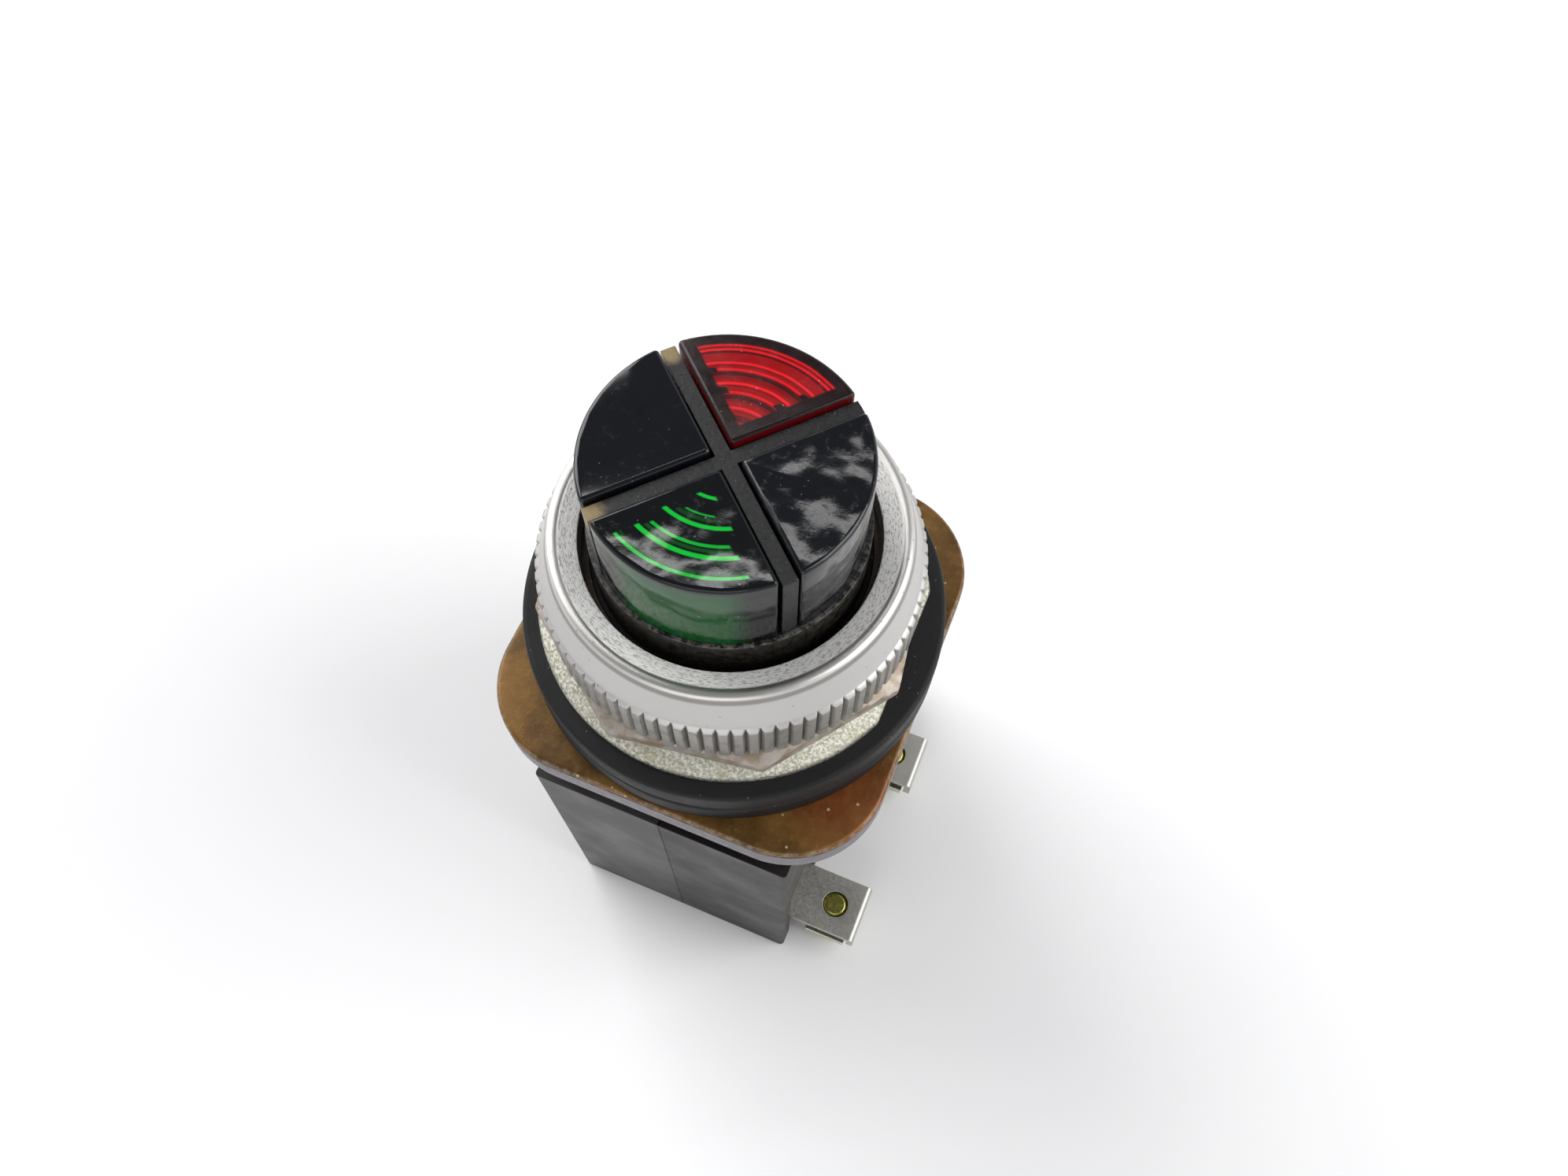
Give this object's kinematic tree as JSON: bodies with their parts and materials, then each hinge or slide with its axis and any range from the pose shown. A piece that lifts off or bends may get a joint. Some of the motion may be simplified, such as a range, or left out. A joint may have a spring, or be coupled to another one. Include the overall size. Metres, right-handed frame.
{
  "type": "cluster pilot light",
  "caption": "Panel-mounted indicator light with a round head in four lens segments, a knurled ring, a square plate and a phenolic rear housing with screw terminals.",
  "frame": {"origin": "centre of the rear face of the housing, on the bushing axis", "axes": "+Z along the bushing axis from the housing to the lenses; +X and -X across the split housing, towards the terminals"},
  "size_m": [0.0466, 0.0438, 0.0824],
  "materials": {
    "chromate_casting": "yellow chromate over a die-cast zinc alloy",
    "rubber": "moulded black rubber",
    "zinc_plate": "bright zinc plate",
    "ring_aluminium": "satin turned aluminium",
    "smoked_plastic": "smoked translucent moulding",
    "red_lens": "translucent red moulding",
    "green_lens": "translucent green moulding",
    "blank_plastic": "polished opaque blue-black moulding",
    "socket_phenolic": "moulded phenolic",
    "lamp_glass": "clear glass",
    "nickel": "nickel plate",
    "tungsten": "drawn wire",
    "spring_steel": "drawn spring wire",
    "contact_brass": "stamped and drawn brass",
    "resistor_ceramic": "unglazed ceramic",
    "phenolic": "satin moulded phenolic",
    "screw_steel": "zinc plated steel",
    "plated_tab": "bright nickel plate",
    "plated_saddle": "bright zinc plate",
    "terminal_brass": "brass screw"
  },
  "bodies": {
    "root": {"base_casting": "chromate_casting", "gasket_lower": "rubber", "gasket_upper": "rubber", "lens_holder": "smoked_plastic", "head_seal": "rubber", "lamp_socket": "socket_phenolic", "lamp_red_glass": "lamp_glass", "lamp_green_glass": "lamp_glass", "lamp_red_cap": "nickel", "lamp_green_cap": "nickel", "lamp_red_filament": "tungsten", "lamp_green_filament": "tungsten", "spring_red": "spring_steel", "spring_green": "spring_steel", "flange_contact_red": "contact_brass", "flange_contact_green": "contact_brass", "flange_lead_red": "contact_brass", "flange_lead_green": "contact_brass", "centre_lead_red": "contact_brass", "centre_lead_green": "contact_brass", "terminal_lead_red": "contact_brass", "terminal_lead_green": "contact_brass", "resistor_red_body": "resistor_ceramic", "resistor_green_body": "resistor_ceramic", "resistor_red_caps": "nickel", "resistor_green_caps": "nickel", "housing_right": "phenolic", "housing_left": "phenolic", "case_screws": "screw_steel", "tab_right_front": "plated_tab", "tab_right_rear": "plated_tab", "tab_left_front": "plated_tab", "tab_left_rear": "plated_tab"},
    "washer": {"trim_washer": "zinc_plate"},
    "ring": {"mounting_ring": "ring_aluminium"},
    "red_segment": {"lens_red": "red_lens"},
    "green_segment": {"lens_green": "green_lens"},
    "left_segment": {"blank_left": "blank_plastic"},
    "right_segment": {"blank_right": "blank_plastic"},
    "saddle_right_front_body": {"saddle_right_front": "plated_saddle"},
    "screw_right_front_body": {"screw_right_front": "terminal_brass"},
    "saddle_right_rear_body": {"saddle_right_rear": "plated_saddle"},
    "screw_right_rear_body": {"screw_right_rear": "terminal_brass"},
    "saddle_left_rear_body": {"saddle_left_rear": "plated_saddle"},
    "screw_left_rear_body": {"screw_left_rear": "terminal_brass"},
    "saddle_left_front_body": {"saddle_left_front": "plated_saddle"},
    "screw_left_front_body": {"screw_left_front": "terminal_brass"}
  },
  "joints": [
    {"name": "washer_lift", "type": "slide", "parent": "root", "child": "washer", "axis": [0, 0, 1], "range_m": [0, 0.00601]},
    {"name": "ring_turn", "type": "hinge", "parent": "washer", "child": "ring", "pos_m": [0, 0, 0.0585], "axis": [0, 0, 1], "range_deg": [0, 1440]},
    {"name": "red_segment_lift", "type": "slide", "parent": "root", "child": "red_segment", "axis": [0, 0, 1], "range_m": [0, 0.014]},
    {"name": "green_segment_lift", "type": "slide", "parent": "root", "child": "green_segment", "axis": [0, 0, 1], "range_m": [0, 0.014]},
    {"name": "left_segment_lift", "type": "slide", "parent": "root", "child": "left_segment", "axis": [0, 0, 1], "range_m": [0, 0.014]},
    {"name": "right_segment_lift", "type": "slide", "parent": "root", "child": "right_segment", "axis": [0, 0, 1], "range_m": [0, 0.014]},
    {"name": "saddle_right_front_slide", "type": "slide", "parent": "root", "child": "saddle_right_front_body", "axis": [0, 0, 1], "range_m": [0, 0.0014]},
    {"name": "screw_right_front_turn", "type": "hinge", "parent": "saddle_right_front_body", "child": "screw_right_front_body", "pos_m": [0.0194, -0.0149, 0.0017], "axis": [0, 0, 1], "range_deg": [0, 630.1]},
    {"name": "saddle_right_rear_slide", "type": "slide", "parent": "root", "child": "saddle_right_rear_body", "axis": [0, 0, 1], "range_m": [0, 0.0014]},
    {"name": "screw_right_rear_turn", "type": "hinge", "parent": "saddle_right_rear_body", "child": "screw_right_rear_body", "pos_m": [0.0194, 0.0076, 0.0017], "axis": [0, 0, 1], "range_deg": [0, 630.1]},
    {"name": "saddle_left_rear_slide", "type": "slide", "parent": "root", "child": "saddle_left_rear_body", "axis": [0, 0, 1], "range_m": [0, 0.0014]},
    {"name": "screw_left_rear_turn", "type": "hinge", "parent": "saddle_left_rear_body", "child": "screw_left_rear_body", "pos_m": [-0.0194, 0.0149, 0.0017], "axis": [0, 0, 1], "range_deg": [0, 630.1]},
    {"name": "saddle_left_front_slide", "type": "slide", "parent": "root", "child": "saddle_left_front_body", "axis": [0, 0, 1], "range_m": [0, 0.0014]},
    {"name": "screw_left_front_turn", "type": "hinge", "parent": "saddle_left_front_body", "child": "screw_left_front_body", "pos_m": [-0.0194, -0.0076, 0.0017], "axis": [0, 0, 1], "range_deg": [0, 630.1]}
  ],
  "couplings": [
    {"joint": "washer_lift", "follows": "ring_turn", "m_per_rad": 0.00023873},
    {"joint": "screw_right_front_turn", "follows": "saddle_right_front_slide", "rad_per_m": 7854},
    {"joint": "screw_right_rear_turn", "follows": "saddle_right_rear_slide", "rad_per_m": 7854},
    {"joint": "screw_left_rear_turn", "follows": "saddle_left_rear_slide", "rad_per_m": 7854},
    {"joint": "screw_left_front_turn", "follows": "saddle_left_front_slide", "rad_per_m": 7854}
  ]
}
